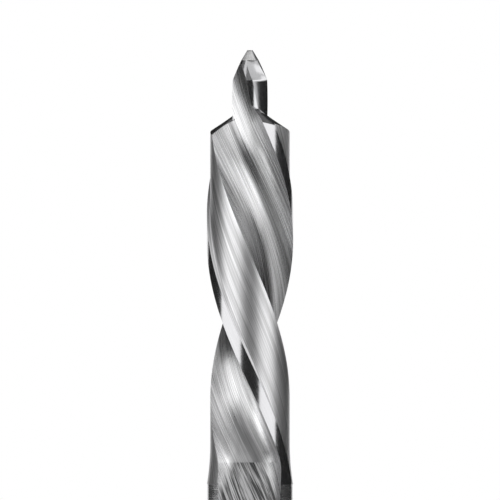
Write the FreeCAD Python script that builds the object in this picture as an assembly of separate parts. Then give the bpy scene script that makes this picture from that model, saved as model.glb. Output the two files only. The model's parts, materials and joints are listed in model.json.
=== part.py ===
import FreeCAD, Part
import math
import os

# Step drill bit, ground from one round bar: a thin pointed pilot, a relieved shoulder, a thicker
# body and a plain shank. Two round flutes wind up it as a left-hand helix, and each land between
# them carries a narrow raised margin behind its cutting edge.
#
# Frame: millimetres, +Z along the axis towards the tip, origin at the middle of the shank's end.
# A depth is a distance below the tip. An azimuth is in degrees, from the front (-Y) towards +X.
# The back taper is what the body loses in diameter from its shoulder to its shank.

# Driving dimensions: the whole tool and its helix
overall_length = 95.0
body_diameter = 9.5
back_taper = 0.04
pilot_diameter = 4.0
core_diameter = 2.25
flute_radius = 4.08
helix_lead = 64.0
edge_azimuth_at_tip = -28.0

# Driving dimensions: the lands
margin_width = 1.37
margin_wall_run = 0.28
clearance_depth = 0.38
pilot_margin_width = 0.6
pilot_flat_overrun = 3.0
point_flat_turn = 16.0

# Driving dimensions: the tip and the shoulder
tip_flat_diameter = 0.58
tip_angle = 62.0
tip_height = 1.13
pilot_point_angle = 50.0
shoulder_depth = 7.98
shoulder_angle = 118.0
shoulder_relief_angle = 12.0

# Driving dimensions: where the grinding wheels leave the body, and the shank
flute_turn_depth = 45.2
flute_turn_length = 2.0
flute_wheel_radius = 25.0
clearance_end_depth = 47.7
clearance_wheel_radius = 29.5
shank_chamfer = 0.4

# The largest turn of the helix, in degrees, from one section of a twisted solid to the next
section_turn = 12


def flute_half_angle(radius):
    """Half of the angle that a flute opens at a radius."""
    numerator = flute_centre_distance ** 2 + radius ** 2 - flute_radius ** 2
    return math.degrees(math.acos(numerator / (2 * flute_centre_distance * radius)))


def angle_across(width, radius):
    """The angle that a width takes on a surface of this radius."""
    return math.degrees(width / radius)


# Sizes worked out from the driving dimensions
body_radius = body_diameter / 2
shank_radius = (body_diameter - back_taper) / 2
pilot_radius = pilot_diameter / 2
land_radius = body_radius - clearance_depth
outer_radius = body_radius + clearance_depth
flute_centre_distance = core_diameter / 2 + flute_radius
flute_azimuth = -flute_half_angle(body_radius)
land_angle = 180 - 2 * flute_half_angle(body_radius)
land_starts = (0, 180)
twist_per_depth = 360 / helix_lead

shoulder_slope = 1 / math.tan(math.radians(shoulder_angle / 2))
shoulder_drop = math.radians(body_radius * math.tan(math.radians(shoulder_relief_angle)))
shoulder_top = shoulder_depth - shoulder_slope * body_radius

pilot_flat_start = angle_across(pilot_margin_width, pilot_radius)
pilot_flat_end = 180 + flute_azimuth - flute_half_angle(pilot_radius) + pilot_flat_overrun
pilot_flat_middle = (pilot_flat_start + pilot_flat_end) / 2
pilot_flat_radius = pilot_radius * math.cos(math.radians(pilot_flat_end - pilot_flat_start) / 2)


def edge_azimuth(depth):
    """Where the first cutting edge stands at a depth."""
    return edge_azimuth_at_tip + twist_per_depth * depth


def point_at(radius, azimuth, depth):
    """A point from its radius, its azimuth and its depth below the tip."""
    turn = math.radians(azimuth)
    return FreeCAD.Vector(radius * math.sin(turn), -radius * math.cos(turn), overall_length - depth)


def spaced(start, end, step):
    """Even values from start to end, no further apart than step."""
    count = math.ceil((end - start) / step)
    return [start + (end - start) * index / count for index in range(count + 1)]


def lines(corners, azimuth):
    """Straight edges through (radius, depth) corners in the plane of an azimuth."""
    places = [point_at(radius, azimuth, depth) for radius, depth in corners]
    return [Part.LineSegment(first, last).toShape() for first, last in zip(places, places[1:])]


def arc(start, middle, end, azimuth):
    """A round edge through three (radius, depth) points in the plane of an azimuth."""
    places = [point_at(radius, azimuth, depth) for radius, depth in (start, middle, end)]
    return Part.Arc(*places).toShape()


def turned(edges):
    """A solid of revolution about the drill's axis, from the edges of its half section."""
    half_section = Part.Face(Part.Wire(edges))
    return half_section.revolve(FreeCAD.Vector(0, 0, 0), FreeCAD.Vector(0, 0, 1), 360)


def twisted(outline, start, end, first_share=1, first_turn=0):
    """A solid between two depths whose (radius, azimuth) outline turns with the helix.

    The outline may start smaller, and turned on its own, and is back to itself at the end.
    """
    sections = []
    for depth in spaced(start, end, section_turn / twist_per_depth):
        rest = (end - depth) / (end - start)
        share = 1 - (1 - first_share) * rest
        turn = edge_azimuth(depth) + first_turn * rest
        corners = [point_at(radius * share, turn + azimuth, depth) for radius, azimuth in outline]
        sections.append(Part.makePolygon(corners + corners[:1]))
    return Part.makeLoft(sections, True)


def body_blank():
    """Shank and body: the clearance runs out to the shank's size on the round of its wheel."""
    run_height = shank_radius - land_radius
    run_length = math.sqrt(2 * clearance_wheel_radius * run_height - run_height ** 2)
    run_start = clearance_end_depth - run_length
    half_run = run_length / 2
    rise = clearance_wheel_radius - math.sqrt(clearance_wheel_radius ** 2 - half_run ** 2)
    shank_corners = [
        (0, shoulder_top),
        (0, overall_length),
        (shank_radius - shank_chamfer, overall_length),
        (shank_radius, overall_length - shank_chamfer),
        (shank_radius, clearance_end_depth),
    ]
    body_corners = [(land_radius, run_start), (land_radius, shoulder_top), (0, shoulder_top)]
    run_out = arc(shank_corners[-1], (land_radius + rise, run_start + half_run), body_corners[0], 0)
    return turned(lines(shank_corners, 0) + [run_out] + lines(body_corners, 0))


def margin(start):
    """The raised strip behind a cutting edge, which thins a little towards the shank.

    Its front is left long, for the flute to trim.
    """
    width = angle_across(margin_width, body_radius)
    wall = angle_across(margin_wall_run, body_radius)
    foot_radius = land_radius - clearance_depth
    strip = twisted([
        (foot_radius, start - width),
        (outer_radius, start - width),
        (outer_radius, start + width - wall),
        (foot_radius, start + width + 2 * wall),
    ], shoulder_top, clearance_end_depth)
    full_size = turned(lines([
        (0, shoulder_top),
        (body_radius, shoulder_top),
        (shank_radius, clearance_end_depth),
        (0, clearance_end_depth),
        (0, shoulder_top),
    ], 0))
    return strip.common(full_size)


def shoulder_relief(start):
    """What grinding takes off above a shoulder flank: a cone that sinks behind its cutting edge."""
    overrun = (180 - land_angle) / 3
    inner_radius = core_diameter / 4
    sections = []
    for turn in spaced(-overrun, land_angle + overrun, section_turn):
        azimuth = edge_azimuth(shoulder_depth) + start + turn
        outer_depth = shoulder_depth + shoulder_slope * clearance_depth + shoulder_drop * turn
        inner_depth = outer_depth - shoulder_slope * (outer_radius - inner_radius)
        sections.append(Part.Wire(lines([
            (inner_radius, inner_depth),
            (outer_radius, outer_depth),
            (outer_radius, 0),
            (inner_radius, 0),
            (inner_radius, inner_depth),
        ], azimuth)))
    return Part.makeLoft(sections, True)


def flute_cutter(start):
    """The round path that grinds a flute: a helix that straightens, then lifts out into the shank."""
    lift_out = outer_radius + flute_radius - flute_centre_distance
    exit_length = math.sqrt(2 * flute_wheel_radius * lift_out - lift_out ** 2)
    turn_start = flute_turn_depth - flute_turn_length / 2
    centres = []
    for depth in spaced(-flute_radius, flute_turn_depth + exit_length, section_turn / twist_per_depth / 2):
        past = min(max(depth - turn_start, 0), flute_turn_length)
        helix_depth = min(depth, turn_start) + past - past ** 2 / (2 * flute_turn_length)
        below = max(depth - flute_turn_depth, 0)
        lift = flute_wheel_radius - math.sqrt(flute_wheel_radius ** 2 - below ** 2)
        azimuth = edge_azimuth(helix_depth) + start + flute_azimuth
        centres.append(point_at(flute_centre_distance + lift, azimuth, depth))
    path = Part.BSplineCurve()
    path.interpolate(centres)
    wheel_section = Part.Circle(centres[0], FreeCAD.Vector(0, 0, 1), flute_radius).toShape()
    sweep = Part.BRepOffsetAPI.MakePipeShell(Part.Wire([path.toShape()]))
    sweep.setTrihedronMode(FreeCAD.Vector(0, 0, 0), FreeCAD.Vector(0, 0, 1))
    sweep.add(Part.Wire([wheel_section]))
    sweep.build()
    sweep.makeSolid()
    return sweep.shape()


def pilot():
    """The pilot with its pointed tip, and a flat ground along each land behind the margin.

    On the point the flats slope with its cone, and turn towards the cutting edges.
    """
    point_radius = tip_flat_diameter / 2 + tip_height * math.tan(math.radians(tip_angle / 2))
    point_rise = (pilot_radius - point_radius) / math.tan(math.radians(pilot_point_angle / 2))
    point_end = tip_height + point_rise
    root_depth = shoulder_depth + body_radius
    solid = turned(lines([
        (0, 0),
        (tip_flat_diameter / 2, 0),
        (point_radius, tip_height),
        (pilot_radius, point_end),
        (pilot_radius, root_depth),
        (0, root_depth),
        (0, 0),
    ], 0))
    flat_corner = math.degrees(math.atan2(pilot_radius, pilot_flat_radius))
    outer_corner = math.degrees(math.atan2(pilot_radius, outer_radius))
    tip_share = point_radius / pilot_radius
    for start in land_starts:
        middle = start + pilot_flat_middle
        above_flat = [
            (math.hypot(pilot_radius, pilot_flat_radius), middle - flat_corner),
            (math.hypot(pilot_radius, outer_radius), middle - outer_corner),
            (math.hypot(pilot_radius, outer_radius), middle + outer_corner),
            (math.hypot(pilot_radius, pilot_flat_radius), middle + flat_corner),
        ]
        solid = solid.cut(twisted(above_flat, point_end, root_depth + tip_height))
        solid = solid.cut(twisted(above_flat, tip_height, point_end, tip_share, -point_flat_turn))
    return solid


def step_drill():
    """The whole drill: body and margins, relieved shoulder, pilot, then the two flutes."""
    solid = body_blank().fuse([margin(start) for start in land_starts])
    solid = solid.cut([shoulder_relief(start) for start in land_starts])
    solid = solid.fuse(pilot())
    return solid.cut([flute_cutter(start) for start in land_starts])


os.makedirs("parts", exist_ok=True)
step_drill().exportStep("parts/step_drill.step")
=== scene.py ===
import json
import math
from typing import NamedTuple

import bmesh
import bpy
import mathutils
import numpy as np
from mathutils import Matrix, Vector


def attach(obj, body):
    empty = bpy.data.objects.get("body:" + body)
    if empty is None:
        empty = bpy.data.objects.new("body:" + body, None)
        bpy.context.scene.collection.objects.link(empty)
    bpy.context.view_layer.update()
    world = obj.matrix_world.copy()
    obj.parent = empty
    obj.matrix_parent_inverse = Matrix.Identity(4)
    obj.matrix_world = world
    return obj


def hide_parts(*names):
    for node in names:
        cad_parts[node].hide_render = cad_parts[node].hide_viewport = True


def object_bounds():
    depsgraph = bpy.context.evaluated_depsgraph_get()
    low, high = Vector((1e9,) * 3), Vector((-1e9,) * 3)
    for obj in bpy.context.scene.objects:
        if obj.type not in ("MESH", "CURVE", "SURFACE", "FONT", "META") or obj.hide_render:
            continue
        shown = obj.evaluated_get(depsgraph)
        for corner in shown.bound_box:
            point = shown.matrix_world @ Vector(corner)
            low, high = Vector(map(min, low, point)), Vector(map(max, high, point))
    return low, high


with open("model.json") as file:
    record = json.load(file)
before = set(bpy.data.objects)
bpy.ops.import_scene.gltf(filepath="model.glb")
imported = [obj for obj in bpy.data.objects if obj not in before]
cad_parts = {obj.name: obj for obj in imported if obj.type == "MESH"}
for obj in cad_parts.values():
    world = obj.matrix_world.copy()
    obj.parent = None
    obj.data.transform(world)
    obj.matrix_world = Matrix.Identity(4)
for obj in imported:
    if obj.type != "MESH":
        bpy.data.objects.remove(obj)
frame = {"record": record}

bl_info = {
    "name": "Ground step drill",
    "version": (1, 0, 0),
    "blender": (4, 5, 0),
    "location": "3D View > Sidebar > Step drill",
    "description": "Grinds a step drill as one closed mesh of steel, and sets the studio round it",
    "category": "Add Mesh",
}

# The frame: metres, +Z along the axis towards the tip, origin at the middle of the shank's end.
# A depth is a distance below the tip. An azimuth turns from the front (-Y) towards +X, and a
# lag is an azimuth counted from the first cutting edge at that depth.
CAD_LOW, CAD_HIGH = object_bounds()
CAD_NODE = "step_drill"
BODY = "root"
MILLIMETRES = 1000
MICRON = 1e-6
FULL_LENGTH = CAD_HIGH.z - CAD_LOW.z
SHANK_MOUNT = frame["record"]["mounts"][0]
SHANK_DIAMETER = 2 * SHANK_MOUNT["dims"]["r_mm"] / MILLIMETRES

# Columns of the mesh across each land. The body has a margin, a wall and a clearance, and the pilot
# has a front, a flat and a back. The gash is the brighter crescent at the heel of the tip's cone.
MARGIN_COLUMNS = 8
WALL_COLUMNS = 4
CLEARANCE_COLUMNS = 30
PILOT_FRONT_COLUMNS = MARGIN_COLUMNS + WALL_COLUMNS
PILOT_BACK_COLUMNS = 10
PILOT_FLAT_COLUMNS = CLEARANCE_COLUMNS - PILOT_BACK_COLUMNS
GASH_COLUMNS = 15
LAND_COLUMNS = PILOT_FRONT_COLUMNS + CLEARANCE_COLUMNS
LAND_STOPS = (0, MARGIN_COLUMNS, PILOT_FRONT_COLUMNS, LAND_COLUMNS)
FLUTE_COLUMNS = 56
LANDS = (0, 1)

# Rows of the mesh, from the tip down to the shank's end
TIP_ROWS = 4
CORE_POINT_ROWS = 3
POINT_ROWS = 28
PILOT_ROWS = 24
FLANK_ROWS = 18
SHOULDER_ROWS = 12
BODY_ROWS = 109
CLEARANCE_RUN_ROWS = 23
FLUTE_RUN_ROWS = 40
SHANK_ROWS = 8

# The rows are level again this many margin widths below the shoulder's flank
LEVEL_MARGINS = 2

# Corners this close are joined and edges this short vanish. The tiny sizes allow for rounding.
JOIN_DISTANCE = 5e-7
SLIVER_LENGTH = 2e-7
TINY_LENGTH = 1e-9
TINY_ANGLE = 1e-6

# The flutes lean in full from this many times the shoulder's depth
FULL_LEAN = 1.5

# The lifting wheel's marks, as shares of how far round the flute they reach where it stops winding:
# how far to one side they lie, how softly they end, and how far they reach halfway up the run-out
MARKS_SHIFT = 1 / 6
MARKS_FADE = 1 / 2
MARKS_SPREAD = 2.5

# Surfaces that meet in a sharp edge, each with the finish that it was ground to
FINISH_OF = {
    "tip": "tip_ground_steel",
    "gash": "bright_ground_steel",
    "ledge": "tip_ground_steel",
    "point": "bright_ground_steel",
    "pilot": "bright_ground_steel",
    "pilot_flat": "bright_ground_steel",
    "flank": "bright_ground_steel",
    "margin": "bright_ground_steel",
    "wall": "relieved_steel",
    "clearance": "relieved_steel",
    "flute": "fluted_steel",
    "flute_exit": "coarse_fluted_steel",
    "shank": "shank_steel",
    "chamfer": "shank_steel",
    "end": "shank_steel",
}
SURFACES = list(FINISH_OF)

# The scratches run with the helix as it is at this share of the body's radius
LAY_RADIUS_SHARE = 0.6
LAY_MAP = "lay"
RUN_OUT_MAP = "run_out"

# What all scratches share: their roughness as noise, how a seed moves them, and where noise mostly lies
STREAK_ROUGHNESS = 0.6
SEED_SHIFT = (1.0, 0.37, 0.11)
NOISE_LOW = 0.3
NOISE_HIGH = 0.7

# The studio: floor, paint, cards and camera. The card step is in degrees, the sensor in millimetres.
FLOOR_RADIUS = 0.6
PAINT_ROUGHNESS = 0.9
PAINT_SHEEN = 0.5
LOW_CARD_RADIUS = 0.08
LOW_CARD_HEIGHT = 0.0002
HIGH_CARD_RADIUS = 1.1
HIGH_CARD_HEIGHT = 0.55
CARD_DISTANCE = 0.5
CARD_STEP = 6
CIRCLE_CORNERS = 96
WHITE = (1.0, 1.0, 1.0, 1.0)
SENSOR_WIDTH = 36.0
CLIP_START = 0.01
CLIP_END = 100.0


class StandingCard(NamedTuple):
    """A dark card that stands round the drill, with its edges' heights about the view's centre."""

    name: str
    azimuths: tuple
    distance: float
    heights: tuple


class LyingCard(NamedTuple):
    """A card that lies just above the floor, between two distances from the drill."""

    name: str
    azimuths: tuple
    distances: tuple
    paint: str


class Panel(NamedTuple):
    """A soft lamp aimed at the view's centre. Its level is its power, divided by its area and by pi.

    One for the steel only lights neither the floor nor the cards.
    """

    name: str
    azimuth: float
    elevation: float
    distance: float
    size: tuple
    level: float
    steel_only: bool = False


# What the steel mirrors, with all angles in degrees
STANDING_CARDS = (
    StandingCard("front_card", azimuths=(-24.4, 24.4), distance=CARD_DISTANCE, heights=(-0.12, 0.16)),
    StandingCard("right_card", azimuths=(72.0, 150.0), distance=CARD_DISTANCE, heights=(-0.07, 0.07)),
    StandingCard("left_card", azimuths=(-150.0, -83.0), distance=CARD_DISTANCE, heights=(-0.07, 0.31)),
    StandingCard("near_left_card", azimuths=(-112.0, -80.0), distance=0.1, heights=(0.02497, 0.06197)),
    StandingCard("back_card", azimuths=(135.0, 215.0), distance=0.6, heights=(0.07, 0.4)),
)
LYING_CARDS = (
    LyingCard("low_front_card", (-25.0, 25.0), (LOW_CARD_RADIUS, CARD_DISTANCE), "card_grey"),
    LyingCard("low_right_card", (66.0, 165.0), (LOW_CARD_RADIUS, CARD_DISTANCE), "card_black"),
    LyingCard("low_left_card", (-165.0, -98.0), (0.14, CARD_DISTANCE), "card_pale"),
    LyingCard("low_near_card", (-90.0, -25.0), (LOW_CARD_RADIUS, 0.125), "card_grey"),
)
PANELS = (
    Panel("left_panel", azimuth=-53.5, elevation=0.0, distance=0.6, size=(0.66, 0.7), level=0.79),
    Panel("right_panel", azimuth=48.0, elevation=0.0, distance=0.6, size=(0.53, 0.95), level=0.78),
    Panel("high_right_panel", azimuth=75.0, elevation=47.0, distance=0.5, size=(0.44, 0.4), level=0.75),
    Panel("right_side_panel", azimuth=103.0, elevation=21.0, distance=0.6, size=(0.5, 0.16), level=0.8),
    Panel("high_front_panel", azimuth=-5.0, elevation=37.0, distance=0.5, size=(0.44, 0.18), level=0.9),
    Panel(
        "low_left_panel", azimuth=-86.0, elevation=-24.0, distance=0.15, size=(0.15, 0.028), level=2.0,
        steel_only=True),
    Panel("high_left_panel", azimuth=-55.0, elevation=52.0, distance=0.5, size=(0.2, 0.2), level=0.9),
)


def length_of(name, description, default):
    """A size that the panel shows as a length."""
    return bpy.props.FloatProperty(
        name=name, description=description, default=default, unit="LENGTH", precision=5, min=0.0)


def angle_of(name, description, degrees):
    """A size that the panel shows as an angle."""
    return bpy.props.FloatProperty(
        name=name, description=description, default=math.radians(degrees), subtype="ANGLE")


def colour_of(name, description, default):
    """A colour that the panel shows as a swatch."""
    return bpy.props.FloatVectorProperty(
        name=name, description=description, default=default, subtype="COLOR", min=0.0, max=1.0)


class DrillSizes(bpy.types.PropertyGroup):
    """The sizes that the drill is ground to."""

    overall_length: length_of("Overall length", "From the shank's end to the tip", FULL_LENGTH)
    body_diameter: length_of("Body diameter", "Across the margins, behind the shoulder", 0.0095)
    shank_diameter: length_of("Shank diameter", "Across the plain shank", SHANK_DIAMETER)
    pilot_diameter: length_of("Pilot diameter", "Across the thin pilot", 0.004)
    core_diameter: length_of("Core diameter", "What the two flutes leave between them", 0.00225)
    flute_radius: length_of("Flute radius", "Round of a flute, seen along the drill", 0.00408)
    helix_lead: length_of("Helix lead", "Length of one whole turn of the flutes", 0.064)
    first_edge: angle_of("First edge", "Azimuth of the first cutting edge at the tip", -28.0)
    margin_width: length_of("Margin width", "Raised strip behind a cutting edge", 0.00137)
    wall_width: length_of("Margin wall", "Width of the slope down from the margin", 0.00028)
    clearance_depth: length_of("Clearance", "How far the land lies below the margin", 0.00038)
    pilot_margin_width: length_of("Pilot margin", "Round strip left on the pilot", 0.0006)
    pilot_flat_overrun: angle_of("Pilot flat overrun", "How far the pilot's flat runs into the flute", 3.0)
    point_flat_turn: angle_of("Point flat turn", "How far the flats turn back on the point", 16.0)
    tip_flat_diameter: length_of("Tip flat", "Across the small flat on the tip", 0.00058)
    tip_angle: angle_of("Tip angle", "Between the sides of the short tip cone", 62.0)
    tip_height: length_of("Tip height", "Height of the short tip cone", 0.00113)
    point_angle: angle_of("Point angle", "Between the sides of the pilot's point", 50.0)
    shoulder_depth: length_of("Shoulder depth", "From the tip to the shoulder's outer corner", 0.00798)
    shoulder_angle: angle_of("Shoulder angle", "Between the two shoulder lips", 118.0)
    shoulder_relief: angle_of("Shoulder relief", "Fall of the shoulder behind its lip", 12.0)
    flute_turn_depth: length_of("Flute turn depth", "Where the flutes stop winding", 0.0452)
    flute_turn_length: length_of("Flute turn length", "How softly they stop", 0.002)
    flute_wheel_radius: length_of("Flute wheel", "Round on which the flutes run out", 0.025)
    shoulder_bias: length_of("Bias at the shoulder", "How far a flute's profile leans there", 0.0002)
    run_out_bias: length_of("Bias at the run-out", "How far a flute's profile leans there", 0.0004)
    marks_start: length_of("Coarse marks", "Depth where the lifting wheel's marks begin", 0.0372)
    marks_reach: angle_of(
        "Reach of the marks", "How far round the flute they reach as it stops winding", 32.0)
    clearance_end_depth: length_of("Clearance end", "Where the clearance has run out", 0.0477)
    clearance_wheel_radius: length_of("Clearance wheel", "Round on which it runs out", 0.0295)
    shank_chamfer: length_of("Shank chamfer", "Chamfer round the shank's end", 0.0004)


class SteelFinish(bpy.types.PropertyGroup):
    """The colours of the ground steel."""

    bright_colour: colour_of("Bright steel", "Finely ground margins and pilot", (0.52, 0.52, 0.53))
    flute_colour: colour_of("Flute steel", "Streaked steel in the flutes", (0.92, 0.92, 0.93))
    clearance_colour: colour_of("Clearance steel", "Steel of the relieved lands", (0.85, 0.85, 0.86))
    tip_colour: colour_of("Tip steel", "Matt steel of the tip cone", (0.86, 0.86, 0.86))
    shank_colour: colour_of("Shank steel", "Steel of the plain shank", (0.74, 0.74, 0.75))


class StudioSettings(bpy.types.PropertyGroup):
    """What stands round the drill when it is shown."""

    view_height: length_of("View height", "Height of the frame at the drill", 0.05498)
    view_centre: length_of("View centre", "Height of the frame's middle", 0.07303)
    camera_distance: length_of("Camera distance", "From the drill's axis", 1.0)
    soft_light: bpy.props.FloatProperty(
        name="Soft light", description="Level of the even light from all round", default=0.6, min=0.0)
    floor_colour: colour_of("Floor", "Pale floor that the drill stands on", (0.86, 0.86, 0.86))
    dark_card_colour: colour_of("Dark cards", "Cards that the steel mirrors as black", (0.02, 0.02, 0.02))
    grey_card_colour: colour_of("Grey cards", "Cards that lie round the drill", (0.28, 0.28, 0.28))
    pale_card_colour: colour_of("Pale card", "Card that lies behind on the left", (0.75, 0.75, 0.75))
    high_card_colour: colour_of("High card", "Dim card above the drill", (0.3, 0.3, 0.3))


class DrillForm:
    """The drill's surfaces, worked out from its sizes."""

    def __init__(self, sizes):
        self.length = sizes.overall_length
        self.body_radius = sizes.body_diameter / 2
        self.shank_radius = sizes.shank_diameter / 2
        self.pilot_radius = sizes.pilot_diameter / 2
        self.core_radius = sizes.core_diameter / 2
        self.land_radius = self.body_radius - sizes.clearance_depth
        self.flute_radius = sizes.flute_radius
        self.flute_distance = self.core_radius + self.flute_radius
        self.twist = 2 * math.pi / sizes.helix_lead
        self.first_edge = sizes.first_edge
        self.turn_depth = sizes.flute_turn_depth
        self.turn_length = sizes.flute_turn_length
        self.flute_wheel = sizes.flute_wheel_radius
        self.shoulder_bias = sizes.shoulder_bias
        self.run_out_bias = sizes.run_out_bias
        self.marks_start = sizes.marks_start
        self.marks_reach = sizes.marks_reach
        self.flute_lag = -self.half_opening(self.body_radius, self.flute_distance)

        self.margin_lag = sizes.margin_width / self.body_radius
        self.wall_lag = self.margin_lag + sizes.wall_width / self.body_radius

        self.tip_flat = sizes.tip_flat_diameter / 2
        self.tip_height = sizes.tip_height
        self.point_radius = self.tip_flat + self.tip_height * math.tan(sizes.tip_angle / 2)
        point_slope = math.tan(sizes.point_angle / 2)
        self.point_end = self.tip_height + (self.pilot_radius - self.point_radius) / point_slope
        self.flute_start = self.tip_height + (self.core_radius - self.point_radius) / point_slope

        flat_start = sizes.pilot_margin_width / self.pilot_radius
        pilot_opening = self.half_opening(self.pilot_radius, self.flute_distance)
        flat_end = math.pi + self.flute_lag - pilot_opening + sizes.pilot_flat_overrun
        self.flat_middle = (flat_start + flat_end) / 2
        self.flat_reach = (flat_end - flat_start) / 2
        self.point_flat_turn = sizes.point_flat_turn

        self.shoulder_depth = sizes.shoulder_depth
        self.shoulder_slope = 1 / math.tan(sizes.shoulder_angle / 2)
        self.shoulder_drop = self.body_radius * math.tan(sizes.shoulder_relief)

        self.clearance_end = sizes.clearance_end_depth
        self.clearance_wheel = sizes.clearance_wheel_radius
        run_height = self.shank_radius - self.land_radius
        self.clearance_run = math.sqrt(2 * self.clearance_wheel * run_height - run_height ** 2)
        self.chamfer = sizes.shank_chamfer
        lift = self.shank_radius + self.flute_radius - self.flute_distance
        self.flute_end = self.turn_depth + math.sqrt(2 * self.flute_wheel * lift - lift ** 2)

    def half_opening(self, radius, distance):
        """Half of the azimuth that a flute opens at a radius, with its centre at this distance."""
        cosine = (distance ** 2 + radius ** 2 - self.flute_radius ** 2) / (2 * distance * radius)
        return np.arccos(np.clip(cosine, -1, 1))

    def point_at(self, azimuth, radius, depth):
        """Points from their azimuths, radii and depths."""
        sides = radius * np.sin(azimuth), -radius * np.cos(azimuth), self.length - depth
        return np.stack(np.broadcast_arrays(*sides), axis=-1)

    def edge(self, depth):
        """Azimuth of the first cutting edge."""
        return self.first_edge + self.twist * depth

    def wound_depth(self, depth):
        """The depth up to which the flutes have wound: it stops growing where they run straight."""
        past = np.clip(depth - self.turn_depth + self.turn_length / 2, 0, self.turn_length)
        straight_from = self.turn_depth - self.turn_length / 2
        return np.minimum(depth, straight_from) + past - past ** 2 / (2 * self.turn_length)

    def flute_azimuth(self, depth):
        """Azimuth of the first flute's centre: it winds, and then runs straight."""
        return self.edge(self.wound_depth(depth)) + self.flute_lag

    def flute_lay(self, depths, sweeps):
        """Places across and along the wheel's marks, which lean as the body's own helix does."""
        lean = self.twist * self.body_radius
        bottom_lean = self.twist * (self.flute_distance - self.flute_radius)
        round_the_flute = sweeps * self.flute_radius
        across = round_the_flute - lean * depths + bottom_lean * self.wound_depth(depths)
        return np.stack([across, depths + lean * round_the_flute], axis=-1)

    def flute_centre(self, depth):
        """Distance of a flute's centre from the axis: it lifts out on the round of its wheel."""
        below = np.clip(depth - self.turn_depth, 0, self.flute_wheel)
        return self.flute_distance + self.flute_wheel - np.sqrt(self.flute_wheel ** 2 - below ** 2)

    def flute_bias(self, depth):
        """How much fuller a flute is at its heel, and deeper at its lip, than a round."""
        stops = [self.shoulder_depth, FULL_LEAN * self.shoulder_depth, self.turn_depth, self.flute_end]
        return np.interp(depth, stops, [0, self.shoulder_bias, self.run_out_bias, 0])

    def run_out(self, depths, sweeps):
        """How coarse the lifting wheel has left a flute, and how far painted shade darkens it there: from 0
        where it winds, up to 1.
        """
        straight = self.flute_end - self.turn_depth
        stops = [self.marks_start, self.turn_depth, self.turn_depth + straight / 2]
        reach = np.interp(depths, stops, [0, self.marks_reach, MARKS_SPREAD * self.marks_reach])
        aside = np.abs(sweeps + MARKS_SHIFT * self.marks_reach)
        return np.clip((reach - aside) / (MARKS_FADE * self.marks_reach), 0, 1)

    def flute_sweep(self, radius, depth):
        """Angle at a flute's own centre from the axis to where the flute cuts a radius."""
        distance = self.flute_centre(depth)
        cosine = (distance ** 2 + self.flute_radius ** 2 - radius ** 2) / (2 * distance * self.flute_radius)
        return np.arccos(np.clip(cosine, -1, 1))

    def front_lag(self, radius, depth):
        """Lag of the land's front, where the flute before it cuts a radius."""
        opening = self.half_opening(radius, self.flute_centre(depth))
        return self.flute_azimuth(depth) - self.edge(depth) + opening

    def back_lag(self, radius, depth):
        """Lag of the land's heel, where the flute behind it cuts a radius."""
        opening = self.half_opening(radius, self.flute_centre(depth))
        return self.flute_azimuth(depth) - self.edge(depth) + math.pi - opening

    def pilot_envelope(self, depth):
        """Radius of the pilot before its flats and flutes: a short cone, a longer one, a cylinder."""
        depths = [0, self.tip_height, self.point_end]
        return np.interp(depth, depths, [self.tip_flat, self.point_radius, self.pilot_radius])

    def margin_envelope(self, depth):
        """Radius of the margins: they thin a little towards the shank."""
        return np.interp(depth, [0, self.clearance_end], [self.body_radius, self.shank_radius])

    def land_envelope(self, depth):
        """Radius of the relieved land: it runs out to the shank's size."""
        run = np.clip(depth - self.clearance_end + self.clearance_run, 0, self.clearance_run)
        rise = self.clearance_wheel - np.sqrt(self.clearance_wheel ** 2 - run ** 2)
        return np.minimum(self.land_radius + rise, self.shank_radius)

    def flank_depth(self, radius, lag):
        """Depth of the shoulder's flank: a cone that sinks behind its cutting edge."""
        sink = self.shoulder_drop * (lag - self.twist * self.shoulder_depth)
        level = self.shoulder_depth + sink - self.shoulder_slope * (self.body_radius - radius)
        return level / (1 - self.shoulder_drop * self.twist)

    def pilot_flat(self, depth):
        """Distance from the axis, and middle lag, of a pilot flat: on the point it slopes and turns."""
        rest = min(max((self.point_end - depth) / (self.point_end - self.tip_height), 0), 1)
        corner_radius = self.pilot_radius + (self.point_radius - self.pilot_radius) * rest
        return corner_radius * math.cos(self.flat_reach), self.flat_middle - self.point_flat_turn * rest

    def flat_meets_flute(self, flat_radius, middle):
        """Lag and radius where a pilot flat runs into the flute behind it."""
        apart = math.pi + self.flute_lag - middle
        inward = flat_radius - self.flute_distance * math.cos(apart)
        along = self.flute_distance * math.sin(apart) - math.sqrt(self.flute_radius ** 2 - inward ** 2)
        return middle + math.atan2(along, flat_radius), math.hypot(along, flat_radius)

    def pilot_land(self, depth, has_flat):
        """Lags and radii across one land of the pilot: front, flat and back."""
        envelope = float(self.pilot_envelope(depth))
        front, back = self.front_lag(envelope, depth), self.back_lag(envelope, depth)
        flat_radius, middle = self.pilot_flat(depth)
        flat_start, flat_end, back_radius = middle - self.flat_reach, middle + self.flat_reach, envelope
        meeting_lag, meeting_radius = self.flat_meets_flute(flat_radius, middle)
        if meeting_radius < envelope:
            flat_end, back, back_radius = meeting_lag, meeting_lag, meeting_radius
        flat = np.linspace(flat_start, flat_end, PILOT_FLAT_COLUMNS + 1)
        lags = np.concatenate([
            np.linspace(front, flat_start, PILOT_FRONT_COLUMNS, endpoint=False),
            flat,
            np.linspace(flat_end, back, PILOT_BACK_COLUMNS + 1)[1:],
        ])
        radii = np.full(len(lags), envelope)
        if has_flat:
            back_start = PILOT_FRONT_COLUMNS + PILOT_FLAT_COLUMNS + 1
            radii[PILOT_FRONT_COLUMNS:back_start] = flat_radius / np.cos(flat - middle)
            radii[back_start:] = back_radius
        return lags, radii

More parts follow.
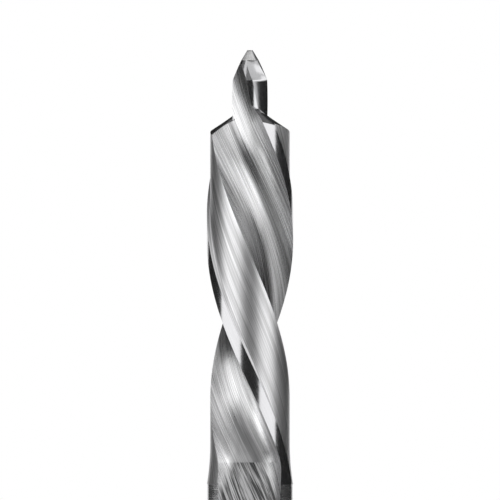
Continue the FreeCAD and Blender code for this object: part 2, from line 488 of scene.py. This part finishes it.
    def body_lag(self, column, depth):
        """Lag of one column of the body's land: margin, wall, then clearance, which stop winding."""
        unwound = self.edge(max(depth, self.clearance_end)) - self.edge(self.clearance_end)
        margin, wall = self.margin_lag - unwound, self.wall_lag - unwound
        front = self.front_lag(self.margin_envelope(depth), depth)
        back = self.back_lag(self.land_envelope(depth), depth)
        return float(np.interp(column, LAND_STOPS, [front, margin, wall, back]))

    def body_radius_at(self, column, depth):
        """Radius of one column of the body's land."""
        margin, land = float(self.margin_envelope(depth)), float(self.land_envelope(depth))
        return float(np.interp(column, LAND_STOPS[1:3], [margin, land]))


def eased(start, end, rows):
    """Depths from start to end that lie closest together at the start."""
    return start + (end - start) * np.linspace(0, 1, rows + 1) ** 2


def shares(rows):
    """Even shares, one for each row, from 0 to just short of 1."""
    return np.linspace(0, 1, rows, endpoint=False)


def pilot_row(form, depth, has_flat=True):
    """One row across the pilot's land."""
    lags, radii = form.pilot_land(depth, has_flat)
    return np.stack([lags, radii, np.full(len(lags), depth)], axis=1)


def point_rows(form):
    """Rows down the tip's cone, and then down the longer cone of the point."""
    tip_depths = np.linspace(0, form.tip_height, TIP_ROWS, endpoint=False)
    rows = [(pilot_row(form, depth, has_flat=False), "tip") for depth in tip_depths]
    rows.append((pilot_row(form, form.tip_height, has_flat=False), "ledge"))
    point_depths = np.concatenate([
        np.linspace(form.tip_height, form.flute_start, CORE_POINT_ROWS, endpoint=False),
        eased(form.flute_start, form.point_end, POINT_ROWS)[:-1],
    ])
    return rows + [(pilot_row(form, depth), "point") for depth in point_depths]


def shoulder_corner(form):
    """The row along the outer corner of the shoulder."""
    columns, depth = np.arange(LAND_COLUMNS + 1), form.shoulder_depth
    front, back = form.front_lag(form.body_radius, depth), form.back_lag(form.land_radius, depth)
    lags = np.interp(columns, LAND_STOPS, [front, form.margin_lag, form.wall_lag, back])
    radii = np.interp(columns, LAND_STOPS[1:3], [form.body_radius, form.land_radius])
    return np.stack([lags, radii, form.flank_depth(radii, lags)], axis=1)


def flank_rows(form, root, corner):
    """Rows out along the shoulder's flank, from the pilot's root to the outer corner."""

    def land_ends(radii):
        depth = form.shoulder_depth
        return form.front_lag(radii, depth), form.back_lag(radii, depth)

    def span(row):
        front, back = land_ends(row[:, 1])
        return (row[:, 0] - front) / (back - front)

    rows = []
    for share in shares(FLANK_ROWS):
        radii = root[:, 1] + (corner[:, 1] - root[:, 1]) * share
        front, back = land_ends(radii)
        lags = front + (back - front) * (span(root) + (span(corner) - span(root)) * share)
        rows.append((np.stack([lags, radii, form.flank_depth(radii, lags)], axis=1), "flank"))
    return rows


def body_row(form, depths):
    """One row across the body's land, with a depth for each column."""
    return np.array([
        (form.body_lag(column, depth), form.body_radius_at(column, depth), depth)
        for column, depth in enumerate(depths)])


def body_rows(form, corner):
    """Rows down the body, and on along the shank's top to the end of the flutes."""
    corner_depths = corner[:, 2]
    level_depth = corner_depths.max() + LEVEL_MARGINS * form.margin_lag * form.body_radius
    rows = [
        (body_row(form, corner_depths + (level_depth - corner_depths) * share), "body")
        for share in shares(SHOULDER_ROWS)]
    run_start = form.clearance_end - form.clearance_run
    body_depths = np.concatenate([
        np.linspace(level_depth, run_start, BODY_ROWS, endpoint=False),
        np.linspace(run_start, form.clearance_end, CLEARANCE_RUN_ROWS, endpoint=False),
    ])
    from_the_end = eased(form.clearance_end, form.flute_end, FLUTE_RUN_ROWS)[::-1]
    exit_depths = form.clearance_end + form.flute_end - from_the_end
    for kind, depths in (("body", body_depths), ("shank", exit_depths)):
        rows += [(body_row(form, np.full(len(corner), depth)), kind) for depth in depths]
    return rows


def land_grid(form):
    """One land from tip to flute end: (lag, radius, depth) at each row and column, and each row's kind."""
    foot = pilot_row(form, form.point_end)
    root = foot.copy()
    root[:, 2] = form.flank_depth(foot[:, 1], foot[:, 0])
    corner = shoulder_corner(form)
    rows = [
        *point_rows(form),
        *((foot + (root - foot) * share, "pilot") for share in shares(PILOT_ROWS)),
        *flank_rows(form, root, corner),
        *body_rows(form, corner),
    ]
    places, kinds = zip(*rows)
    return np.array(places), kinds


def land_lay(form, land, kinds):
    """Places across and along the land's scratches, which wind with it or run round the drill."""
    lag, radius, depth = np.moveaxis(land, -1, 0)
    winding = np.isin(kinds, ["point", "pilot", "body"])[:, None]
    stretch = math.sqrt(1 + (form.twist * form.body_radius * LAY_RADIUS_SHARE) ** 2)
    across = np.where(winding, lag * form.body_radius, depth)
    along = np.where(winding, depth * stretch, (lag + form.edge(depth)) * radius)
    return np.stack([across, along], axis=-1)


def flute_grid(form, before, behind):
    """Depths, and angles at its own centre, across a flute between two lands.

    Each side is the edge of a land, as (lag, radius, depth) in each row.
    """
    share = np.linspace(0, 1, FLUTE_COLUMNS + 1)[None, :]
    start = -form.flute_sweep(before[:, 1], before[:, 2])[:, None]
    end = form.flute_sweep(behind[:, 1], behind[:, 2])[:, None]
    depths = before[:, 2][:, None] * (1 - share) + behind[:, 2][:, None] * share
    return depths, start + (end - start) * share


def flute_points(form, depths, sweeps, turn):
    """Points on a flute from their depths and their angles at its centre."""
    azimuth = form.flute_azimuth(depths) + turn
    first, last = sweeps[:, :1], sweeps[:, -1:]
    middle, reach = (first + last) / 2, np.maximum((last - first) / 2, TINY_ANGLE)
    radius = form.flute_radius + form.flute_bias(depths) * np.sin(math.pi * (sweeps - middle) / reach)
    outward = form.flute_centre(depths) - radius * np.cos(sweeps)
    sideways = radius * np.sin(sweeps)
    return np.stack([
        outward * np.sin(azimuth) + sideways * np.cos(azimuth),
        -outward * np.cos(azimuth) + sideways * np.sin(azimuth),
        form.length - depths,
    ], axis=-1)


class DrillMesh:
    """Collects grids of faces, the surface that each lies on, and where each corner lies on its lay."""

    def __init__(self):
        self.points = []
        self.faces = []
        self.surfaces = []
        self.lay = []
        self.run_out = []

    def add_grid(self, points, lay, surface_at, run_out=None):
        """Adds one grid. lay is (across, along) the scratches, in metres, and its map is in millimetres.

        surface_at names the surface of the face at a row and a column.
        """
        first = sum(len(group) for group in self.points)
        rows, columns = points.shape[:2]
        lay_mm = lay * MILLIMETRES
        if run_out is None:
            run_out = np.zeros((rows, columns))
        self.points.append(points.reshape(-1, 3))
        for row in range(rows - 1):
            for column in range(columns - 1):
                corners = [(row, column), (row + 1, column), (row + 1, column + 1), (row, column + 1)]
                self.faces.append([first + r * columns + c for r, c in corners])
                self.lay.append([lay_mm[r, c] for r, c in corners])
                self.run_out.append([(run_out[r, c], 0.0) for r, c in corners])
                self.surfaces.append(surface_at(row, column))


def land_surface(kind, column):
    """The surface that a face of a land's grid lies on."""
    if kind == "tip":
        return "gash" if column >= LAND_COLUMNS - GASH_COLUMNS else kind
    if kind in ("point", "pilot"):
        flat = PILOT_FRONT_COLUMNS <= column < PILOT_FRONT_COLUMNS + PILOT_FLAT_COLUMNS
        return "pilot_flat" if flat else kind
    if kind == "body":
        if column < MARGIN_COLUMNS:
            return "margin"
        return "wall" if column < PILOT_FRONT_COLUMNS else "clearance"
    return kind


def whole_turn(row):
    """Lags once round the drill from one land's row: both lands, and the first corner again."""
    lags = row[:-1, 0]
    return np.concatenate([lags, lags + math.pi, row[:1, 0] + 2 * math.pi])


def add_tip_flat(mesh, form, first_row):
    """The small flat on top of the tip's cone."""
    azimuths = whole_turn(first_row) + form.edge(0)
    points = np.array([form.point_at(azimuths, radius, 0) for radius in (0.0, form.tip_flat)])
    mesh.add_grid(points, points[..., :2], lambda row, column: "tip")


def add_shank(mesh, form, last_row):
    """The plain shank below the flutes, its chamfer and its flat end."""
    start = last_row[0, 2]
    azimuths = whole_turn(last_row) + form.edge(start)
    chamfer_depth = form.length - form.chamfer
    shank_depths = np.linspace(start, chamfer_depth, SHANK_ROWS, endpoint=False)
    stops = [(form.shank_radius, depth, "shank") for depth in shank_depths]
    stops += [
        (form.shank_radius, chamfer_depth, "chamfer"),
        (form.shank_radius - form.chamfer, form.length, "end"),
        (0.0, form.length, "end"),
    ]
    points = np.array([form.point_at(azimuths, radius, depth) for radius, depth, _ in stops])
    depths = np.array([depth for _, depth, _ in stops])[:, None]
    lay = np.stack(np.broadcast_arrays(depths, azimuths * form.shank_radius), axis=-1)
    mesh.add_grid(points, lay, lambda row, column: stops[row][2])


def drill_mesh(form):
    """The whole drill as one closed mesh of grids."""
    mesh = DrillMesh()
    land, kinds = land_grid(form)
    lag, radius, depth = np.moveaxis(land, -1, 0)
    first_flute_row = np.argmax(depth[:, 0] >= form.flute_start - TINY_LENGTH)
    flute_depths, sweeps = flute_grid(form, land[first_flute_row:, -1], land[first_flute_row:, 0])
    scratches, flute_scratches = land_lay(form, land, kinds), form.flute_lay(flute_depths, sweeps)
    coarseness = form.run_out(flute_depths, sweeps)

    def land_face(row, column):
        return land_surface(kinds[row], column)

    def flute_face(row, column):
        return "flute" if flute_depths[row].mean() < form.turn_depth else "flute_exit"

    for number in LANDS:
        turn = math.pi * number
        mesh.add_grid(form.point_at(form.edge(depth) + lag + turn, radius, depth), scratches, land_face)
        points = flute_points(form, flute_depths, sweeps, turn)
        mesh.add_grid(points[:, ::-1], flute_scratches[:, ::-1], flute_face, coarseness[:, ::-1])
    add_shank(mesh, form, land[-1])
    add_tip_flat(mesh, form, land[0])
    return mesh


def drill_object(name, form, materials):
    """One object from the grids: shared corners joined, and an edge kept sharp where surfaces meet."""
    grids = drill_mesh(form)
    data = bpy.data.meshes.new(name)
    data.from_pydata(np.concatenate(grids.points).tolist(), [], grids.faces)
    for finish in materials:
        data.materials.append(materials[finish])
    finishes = list(materials)
    surface_numbers = [SURFACES.index(surface) for surface in grids.surfaces]
    data.attributes.new("surface", "INT", "FACE").data.foreach_set("value", surface_numbers)
    data.polygons.foreach_set("material_index", [finishes.index(FINISH_OF[s]) for s in grids.surfaces])
    data.polygons.foreach_set("use_smooth", [True] * len(grids.faces))
    for map_name, corners in ((LAY_MAP, grids.lay), (RUN_OUT_MAP, grids.run_out)):
        uv_map = data.uv_layers.new(name=map_name)
        uv_map.uv.foreach_set("vector", np.array(corners).reshape(-1))

    mesh = bmesh.new()
    mesh.from_mesh(data)
    bmesh.ops.remove_doubles(mesh, verts=mesh.verts, dist=JOIN_DISTANCE)
    bmesh.ops.dissolve_degenerate(mesh, edges=mesh.edges, dist=SLIVER_LENGTH)
    bmesh.ops.recalc_face_normals(mesh, faces=mesh.faces)
    surface = mesh.faces.layers.int["surface"]
    for edge in mesh.edges:
        edge.smooth = len({face[surface] for face in edge.link_faces}) == 1
    open_edges = sum(not edge.is_manifold for edge in mesh.edges)
    mesh.to_mesh(data)
    mesh.free()
    if open_edges:
        raise RuntimeError(f"the drill's mesh has {open_edges} open edges")
    return linked_object(name, data)


def linked_object(name, data):
    """A new object of the scene."""
    thing = bpy.data.objects.new(name, data)
    bpy.context.scene.collection.objects.link(thing)
    return thing


class SteelNodes:
    """Builds the nodes of one steel: fine scratches that follow the lay of its grinding."""

    def __init__(self, name, colour, roughness, anisotropy):
        self.material = bpy.data.materials.new(name)
        self.material.use_nodes = True
        self.nodes = self.material.node_tree.nodes
        self.links = self.material.node_tree.links
        self.shader = self.nodes["Principled BSDF"]
        self.shader.inputs["Metallic"].default_value = 1.0
        self.shader.inputs["Anisotropic"].default_value = anisotropy
        self.colour = tuple(colour)
        self.roughness = roughness
        tangent = self.nodes.new("ShaderNodeTangent")
        tangent.direction_type = "UV_MAP"
        tangent.uv_map = LAY_MAP
        self.links.new(tangent.outputs["Tangent"], self.shader.inputs["Tangent"])
        self.lay = self.nodes.new("ShaderNodeUVMap")
        self.lay.uv_map = LAY_MAP

    def streaks(self, per_mm, stretch, detail=4.0, seed=0.0):
        """Noise with this many features a millimetre across the lay, drawn out along it."""
        scale = self.nodes.new("ShaderNodeMapping")
        scale.inputs["Scale"].default_value = (per_mm, per_mm / stretch, 1.0)
        scale.inputs["Location"].default_value = [seed * shift for shift in SEED_SHIFT]
        self.links.new(self.lay.outputs["UV"], scale.inputs["Vector"])
        noise = self.nodes.new("ShaderNodeTexNoise")
        noise.inputs["Scale"].default_value = 1.0
        noise.inputs["Detail"].default_value = detail
        noise.inputs["Roughness"].default_value = STREAK_ROUGHNESS
        self.links.new(scale.outputs["Vector"], noise.inputs["Vector"])
        return noise.outputs["Fac"]

    def hairlines(self, stretch, seed):
        """Thin dark scratches, as a share of the steel's colour."""
        noise = self.streaks(per_mm=12.0, stretch=stretch, detail=2.0, seed=seed)
        return self.ranged(noise, low=0.4, high=1.0, start=0.4, end=0.58)

    def run_out(self):
        """How coarse the lifting wheel has left the steel here, and how far its marks' painted shade
        darkens it, from 0 to 1.
        """
        place_in_map = self.nodes.new("ShaderNodeUVMap")
        place_in_map.uv_map = RUN_OUT_MAP
        split = self.nodes.new("ShaderNodeSeparateXYZ")
        self.links.new(place_in_map.outputs["UV"], split.inputs["Vector"])
        return split.outputs["X"]

    def blended(self, share, first, second):
        """One value that turns into another as a share goes from 0 to 1."""
        mix = self.nodes.new("ShaderNodeMix")
        for socket, value in (("Factor", share), ("A", first), ("B", second)):
            self.links.new(value, mix.inputs[socket])
        return mix.outputs["Result"]

    def ranged(self, value, low, high, start=NOISE_LOW, end=NOISE_HIGH):
        """A value that runs from low to high while another one runs from start to end."""
        spread = self.nodes.new("ShaderNodeMapRange")
        for socket, number in (("From Min", start), ("From Max", end), ("To Min", low), ("To Max", high)):
            spread.inputs[socket].default_value = number
        self.links.new(value, spread.inputs["Value"])
        return spread.outputs["Result"]

    def combined(self, operation, first, second):
        """The sum or the product of two values."""
        node = self.nodes.new("ShaderNodeMath")
        node.operation = operation
        for socket, value in zip(node.inputs, (first, second)):
            if isinstance(value, float):
                socket.default_value = value
            else:
                self.links.new(value, socket)
        return node.outputs["Value"]

    def tint(self, value, dark):
        """Colours the steel from a share of its own colour up to all of it."""
        mix = self.nodes.new("ShaderNodeMix")
        mix.data_type = "RGBA"
        mix.inputs["A"].default_value = (*(channel * dark for channel in self.colour), 1.0)
        mix.inputs["B"].default_value = (*self.colour, 1.0)
        self.links.new(value, mix.inputs["Factor"])
        self.links.new(mix.outputs["Result"], self.shader.inputs["Base Color"])

    def roughen(self, value, spread, added=None):
        """Varies the roughness about its own value, and may add more of it."""
        rough = self.ranged(value, self.roughness - spread, self.roughness + spread)
        if added is not None:
            rough = self.combined("ADD", rough, added)
        self.links.new(rough, self.shader.inputs["Roughness"])

    def score(self, height, depth):
        """Scores the surface to this depth, in metres."""
        bump = self.nodes.new("ShaderNodeBump")
        bump.inputs["Distance"].default_value = depth
        bump.inputs["Strength"].default_value = 1.0
        self.links.new(height, bump.inputs["Height"])
        self.links.new(bump.outputs["Normal"], self.shader.inputs["Normal"])

    def grind(self, scratches, dark, spread, depth):
        """Lets one set of scratches darken, roughen and score the steel."""
        self.tint(self.ranged(scratches, low=0.0, high=1.0), dark)
        self.roughen(scratches, spread)
        self.score(scratches, depth)


def bright_ground_steel(finish):
    """Margins, flanks and pilot: finely ground, almost a mirror."""
    steel = SteelNodes("bright_ground_steel", finish.bright_colour, roughness=0.16, anisotropy=0.3)
    fine = steel.streaks(per_mm=9.0, stretch=40.0)
    steel.grind(fine, dark=0.86, spread=0.05, depth=0.8 * MICRON)
    return steel.material


def relieved_steel(finish):
    """Relieved lands and the walls beside them: ground a little coarser than the margins."""
    steel = SteelNodes("relieved_steel", finish.clearance_colour, roughness=0.34, anisotropy=0.6)
    fine = steel.streaks(per_mm=8.0, stretch=130.0, seed=3.1)
    broad = steel.streaks(per_mm=1.6, stretch=60.0, detail=3.0, seed=8.7)
    streaked = steel.combined("MULTIPLY", fine, broad)
    shade = steel.ranged(streaked, low=0.25, high=1.0, start=0.16, end=0.34)
    steel.tint(steel.combined("MULTIPLY", shade, steel.hairlines(stretch=200.0, seed=0.7)), dark=0.4)
    steel.roughen(fine, spread=0.05)
    steel.score(steel.combined("ADD", fine, broad), depth=1.5 * MICRON)
    return steel.material


def flute_streaks(steel):
    """Long streaks that a flute's wheel leaves, and how dark they make the steel."""
    fine = steel.streaks(per_mm=9.0, stretch=120.0, seed=1.3)
    broad = steel.streaks(per_mm=1.3, stretch=36.0, detail=3.0, seed=5.9)
    streaked = steel.combined("MULTIPLY", fine, broad)
    shade = steel.ranged(streaked, low=0.3, high=1.0, start=0.15, end=0.36)
    return fine, steel.combined("MULTIPLY", shade, steel.hairlines(stretch=160.0, seed=9.5))


def mark_flute(steel, streaks, marks, dark, rougher, depth):
    """Streaks where a flute's wheel only winds, which turn into marks where it lifts.

    Both are a height and a shade. The marks make the steel this much rougher, and their shade darkens it:
    partly coarse marks, partly painted shade.
    """
    run_out = steel.run_out()
    heights, shades = zip(streaks, marks)
    # Where the wheel lifts, the marks' shade darkens the colour: partly coarse marks, partly painted shade.
    steel.tint(steel.blended(run_out, *shades), dark)
    steel.roughen(streaks[0], spread=0.08, added=steel.combined("MULTIPLY", run_out, rougher))
    steel.score(steel.blended(run_out, *heights), depth)


def fluted_steel(finish):
    """Flutes: long streaks that run with the helix, and rougher steel before the run-out, darkened there
    partly by coarse marks and partly as painted shade.
    """
    steel = SteelNodes("fluted_steel", finish.flute_colour, roughness=0.28, anisotropy=0.75)
    fine, shade = flute_streaks(steel)
    coarse = steel.streaks(per_mm=7.0, stretch=30.0, seed=2.4)
    crossed = steel.combined("MULTIPLY", coarse, shade)
    # Coarse marks darken the colour before the run-out: partly real marks, partly painted shade.
    marks_with_painted_shade = steel.ranged(crossed, low=0.1, high=0.75, start=0.1, end=0.6)
    mark_flute(steel, (fine, shade), (coarse, marks_with_painted_shade), dark=0.25, rougher=0.18, depth=8 * MICRON)
    return steel.material


def coarse_fluted_steel(finish):
    """Where the flutes run out: coarse marks of the wheel as it lifts, darkened partly as painted shade,
    and finer steel beside them.
    """
    steel = SteelNodes("coarse_fluted_steel", finish.flute_colour, roughness=0.28, anisotropy=0.75)
    fine, shade = flute_streaks(steel)
    coarse = steel.streaks(per_mm=6.0, stretch=40.0, seed=2.4)
    marks = steel.streaks(per_mm=3.0, stretch=18.0, detail=3.0, seed=7.2)
    crossed = steel.combined("MULTIPLY", coarse, marks)
    # The wheel's marks darken the colour here: partly real scoring, partly painted shade.
    scores_with_painted_shade = steel.ranged(crossed, low=0.0, high=0.72, start=0.2, end=0.31)
    mark_flute(steel, (fine, shade), (marks, scores_with_painted_shade), dark=0.12, rougher=0.3, depth=30 * MICRON)
    return steel.material


def tip_ground_steel(finish):
    """The short tip cone: dull, with marks that run round it."""
    steel = SteelNodes("tip_ground_steel", finish.tip_colour, roughness=0.65, anisotropy=0.0)
    fine = steel.streaks(per_mm=8.0, stretch=6.0, seed=4.4)
    steel.grind(fine, dark=0.75, spread=0.06, depth=4 * MICRON)
    return steel.material


def shank_steel(finish):
    """The plain shank: ground round and round."""
    steel = SteelNodes("shank_steel", finish.shank_colour, roughness=0.22, anisotropy=0.6)
    fine = steel.streaks(per_mm=8.0, stretch=60.0, seed=6.6)
    steel.grind(fine, dark=0.75, spread=0.06, depth=1.5 * MICRON)
    return steel.material


STEELS = (
    bright_ground_steel, relieved_steel, fluted_steel, coarse_fluted_steel, tip_ground_steel, shank_steel)


def plain_paint(name, colour, sheen=PAINT_SHEEN):
    """A plain painted surface of the studio. Without sheen it mirrors nothing at all."""
    material = bpy.data.materials.new(name)
    material.use_nodes = True
    shader = material.node_tree.nodes["Principled BSDF"]
    shader.inputs["Base Color"].default_value = (*colour, 1.0)
    shader.inputs["Roughness"].default_value = PAINT_ROUGHNESS
    shader.inputs["Specular IOR Level"].default_value = sheen
    return material


def ring_point(azimuth, distance, height):
    """A place round the drill, by its azimuth in degrees from the front towards +X."""
    turn = math.radians(azimuth)
    return (distance * math.sin(turn), -distance * math.cos(turn), height)


def only_in_the_steel(card):
    """Lets a card show in the steel alone: no shadow, and nothing of it on the floor."""
    card.visible_camera = False
    card.visible_shadow = False
    card.visible_diffuse = False


def level_disc(name, radius, height, paint):
    """A level round sheet about the drill's axis."""
    mesh = bmesh.new()
    bmesh.ops.create_circle(mesh, cap_ends=True, segments=CIRCLE_CORNERS, radius=radius)
    data = bpy.data.meshes.new(name)
    mesh.to_mesh(data)
    mesh.free()
    data.materials.append(paint)
    disc = linked_object(name, data)
    disc.location.z = height
    return disc


def curved_card(name, azimuths, edges, paint):
    """A card bent round the drill between two edges, each a distance from its axis and a height."""
    steps = math.ceil((azimuths[1] - azimuths[0]) / CARD_STEP)
    places = np.linspace(*azimuths, steps + 1)
    corners = [ring_point(azimuth, distance, height) for distance, height in edges for azimuth in places]
    faces = [(i, i + 1, i + steps + 2, i + steps + 1) for i in range(steps)]
    data = bpy.data.meshes.new(name)
    data.from_pydata(corners, [], faces)
    data.materials.append(paint)
    only_in_the_steel(linked_object(name, data))


def set_cards(settings):
    """Cards that give the steel its dark and grey bands: upright ones, low ones and a high one."""
    colours = {
        "card_black": settings.dark_card_colour,
        "card_grey": settings.grey_card_colour,
        "card_pale": settings.pale_card_colour,
        "card_dim": settings.high_card_colour,
    }
    paints = {name: plain_paint(name, colour) for name, colour in colours.items()}
    for card in STANDING_CARDS:
        edges = [(card.distance, settings.view_centre + height) for height in card.heights]
        curved_card(card.name, card.azimuths, edges, paints["card_black"])
    for card in LYING_CARDS:
        edges = [(distance, LOW_CARD_HEIGHT) for distance in card.distances]
        curved_card(card.name, card.azimuths, edges, paints[card.paint])
    only_in_the_steel(level_disc("low_card", LOW_CARD_RADIUS, LOW_CARD_HEIGHT, paints["card_grey"]))
    only_in_the_steel(level_disc("high_card", HIGH_CARD_RADIUS, HIGH_CARD_HEIGHT, paints["card_dim"]))


def soft_panel(panel, centre_height):
    """Hangs one soft lamp and aims it at the drill."""
    data = bpy.data.lights.new(panel.name, "AREA")
    data.shape = "RECTANGLE"
    data.size, data.size_y = panel.size
    data.energy = math.pi * panel.size[0] * panel.size[1] * panel.level
    lamp = linked_object(panel.name, data)
    rise = math.radians(panel.elevation)
    height = centre_height + panel.distance * math.sin(rise)
    lamp.location = ring_point(panel.azimuth, panel.distance * math.cos(rise), height)
    from_drill = lamp.location - mathutils.Vector((0, 0, centre_height))
    lamp.rotation_mode = "QUATERNION"
    lamp.rotation_quaternion = from_drill.to_track_quat("Z", "Y")
    lamp.visible_camera = False
    lamp.visible_diffuse = not panel.steel_only


def set_world(level):
    """White for the camera and in the steel, and an even soft light of this level for the rest."""
    world = bpy.data.worlds.new("studio_world")
    bpy.context.scene.world = world
    world.use_nodes = True
    nodes, links = world.node_tree.nodes, world.node_tree.links
    nodes.clear()
    output = nodes.new("ShaderNodeOutputWorld")
    choice = nodes.new("ShaderNodeMixShader")
    soft, white = nodes.new("ShaderNodeBackground"), nodes.new("ShaderNodeBackground")
    for background, strength in ((soft, level), (white, 1.0)):
        background.inputs["Color"].default_value = WHITE
        background.inputs["Strength"].default_value = strength
    path = nodes.new("ShaderNodeLightPath")
    seen = nodes.new("ShaderNodeMath")
    seen.operation = "MAXIMUM"
    links.new(path.outputs["Is Camera Ray"], seen.inputs[0])
    links.new(path.outputs["Is Glossy Ray"], seen.inputs[1])
    links.new(seen.outputs["Value"], choice.inputs["Fac"])
    links.new(soft.outputs["Background"], choice.inputs[1])
    links.new(white.outputs["Background"], choice.inputs[2])
    links.new(choice.outputs["Shader"], output.inputs["Surface"])


def make_floor(settings):
    """The pale round floor that the drill stands on."""
    paint = plain_paint("floor_paint", settings.floor_colour, sheen=0.0)
    floor = level_disc("floor", FLOOR_RADIUS, 0.0, paint)


def make_camera(settings):
    """A long lens, level with the middle of the frame."""
    data = bpy.data.cameras.new("front_camera")
    data.sensor_width = SENSOR_WIDTH
    data.lens = SENSOR_WIDTH * settings.camera_distance / settings.view_height
    data.clip_start, data.clip_end = CLIP_START, CLIP_END
    camera = linked_object("front_camera", data)
    camera.location = (0, -settings.camera_distance, settings.view_centre)
    camera.rotation_euler = (math.pi / 2, 0, 0)
    bpy.context.scene.camera = camera


class DRILL_OT_grind(bpy.types.Operator):
    """Grinds the whole drill from its sizes and gives each surface its steel."""

    bl_idname = "drill.grind"
    bl_label = "Grind the drill"

    def execute(self, context):
        scene = context.scene
        form = DrillForm(scene.drill_sizes)
        materials = {make.__name__: make(scene.drill_finish) for make in STEELS}
        drill = drill_object("ground_drill", form, materials)
        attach(drill, BODY)
        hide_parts(CAD_NODE)
        return {"FINISHED"}


class DRILL_OT_set_studio(bpy.types.Operator):
    """Sets the floor, the lamps, the cards and the camera round the drill."""

    bl_idname = "drill.set_studio"
    bl_label = "Set the studio"

    def execute(self, context):
        settings = context.scene.drill_studio
        context.scene.view_settings.view_transform = "Standard"
        make_camera(settings)
        make_floor(settings)
        set_world(settings.soft_light)
        set_cards(settings)
        for panel in PANELS:
            soft_panel(panel, settings.view_centre)
        return {"FINISHED"}


class VIEW3D_PT_step_drill(bpy.types.Panel):
    """Lists the drill's sizes and finishes, and the steps that make it."""

    bl_label = "Step drill"
    bl_idname = "VIEW3D_PT_step_drill"
    bl_space_type = "VIEW_3D"
    bl_region_type = "UI"
    bl_category = "Step drill"

    def draw(self, context):
        scene, layout = context.scene, self.layout
        for step in STEPS:
            layout.operator(step.bl_idname)
        for group in (scene.drill_sizes, scene.drill_finish, scene.drill_studio):
            box = layout.box()
            for name in type(group).__annotations__:
                box.prop(group, name)


STEPS = (DRILL_OT_grind, DRILL_OT_set_studio)
GROUPS = {"drill_sizes": DrillSizes, "drill_finish": SteelFinish, "drill_studio": StudioSettings}
CLASSES = (*GROUPS.values(), *STEPS, VIEW3D_PT_step_drill)


def register():
    """Adds the classes, and gives each scene the three groups of settings."""
    for each in CLASSES:
        bpy.utils.register_class(each)
    for name, group in GROUPS.items():
        setattr(bpy.types.Scene, name, bpy.props.PointerProperty(type=group))


def unregister():
    """Takes the settings and the classes out again."""
    for name in GROUPS:
        delattr(bpy.types.Scene, name)
    for each in reversed(CLASSES):
        bpy.utils.unregister_class(each)


def main():
    register()
    bpy.ops.drill.grind()
    bpy.ops.drill.set_studio()


if __name__ == "__main__":
    main()
